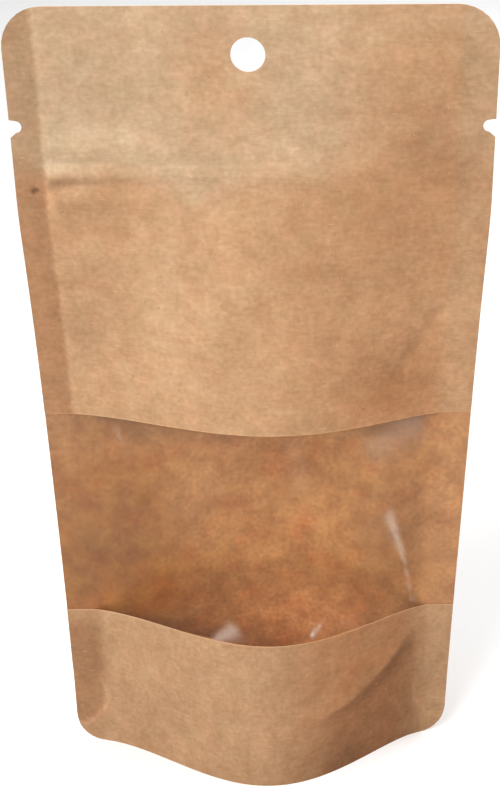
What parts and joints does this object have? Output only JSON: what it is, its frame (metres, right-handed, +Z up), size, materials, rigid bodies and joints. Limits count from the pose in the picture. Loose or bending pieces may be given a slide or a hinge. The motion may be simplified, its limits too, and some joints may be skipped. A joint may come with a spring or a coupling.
{
  "type": "kraft stand-up pouch with window",
  "caption": "Empty kraft paper stand-up pouch with an opened bottom gusset, side seals, a clear window band, tear notches and a hang hole.",
  "frame": {"origin": "on the floor, under the middle of the pouch's whole box", "axes": "+Z up to the top edge, +X to the right across the front, and the front with the window faces -Y"},
  "size_m": [0.11, 0.043, 0.192],
  "materials": {
    "kraft_paper": "brown kraft paper, matt, with fine fibres and flecks",
    "clear_film": "clear glossy packing film, slightly cloudy"
  },
  "bodies": {
    "root": {"kraft_pouch": "kraft_paper", "window_film": "clear_film"}
  },
  "joints": []
}
